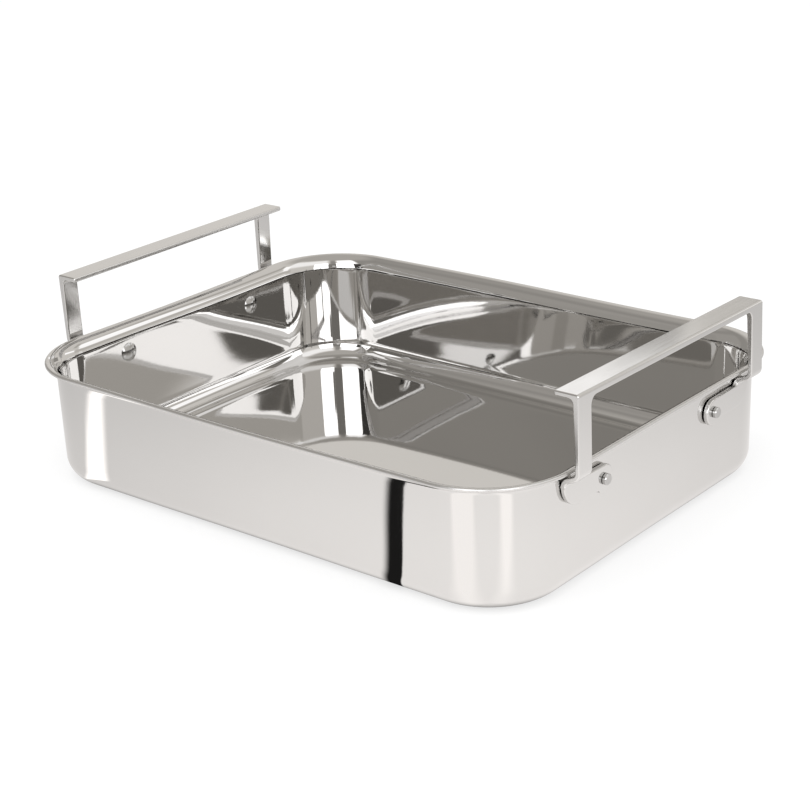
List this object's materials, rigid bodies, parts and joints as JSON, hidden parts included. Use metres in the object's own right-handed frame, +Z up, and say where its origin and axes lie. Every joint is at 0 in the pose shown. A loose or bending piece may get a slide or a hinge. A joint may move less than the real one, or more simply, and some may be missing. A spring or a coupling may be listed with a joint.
{
  "type": "roasting pan",
  "caption": "Open rectangular roasting pan of polished steel with a turned-out pouring rim and a rigid strap handle riveted to each short end.",
  "frame": {"origin": "middle of the flat base, on the surface that the pan stands on", "axes": "+X along the long side towards the right handle, +Y across the pan, +Z up"},
  "size_m": [0.3608, 0.2698, 0.1083],
  "materials": {
    "pan_steel": "mirror polished stainless steel",
    "strap_steel": "polished stainless steel with faint grinding lines",
    "rivet_steel": "turned stainless steel, lightly polished"
  },
  "bodies": {
    "root": {"pan_body": "pan_steel", "handle_right": "strap_steel", "handle_left": "strap_steel", "rivet_right_a": "rivet_steel", "rivet_right_b": "rivet_steel", "rivet_left_a": "rivet_steel", "rivet_left_b": "rivet_steel"}
  },
  "joints": []
}
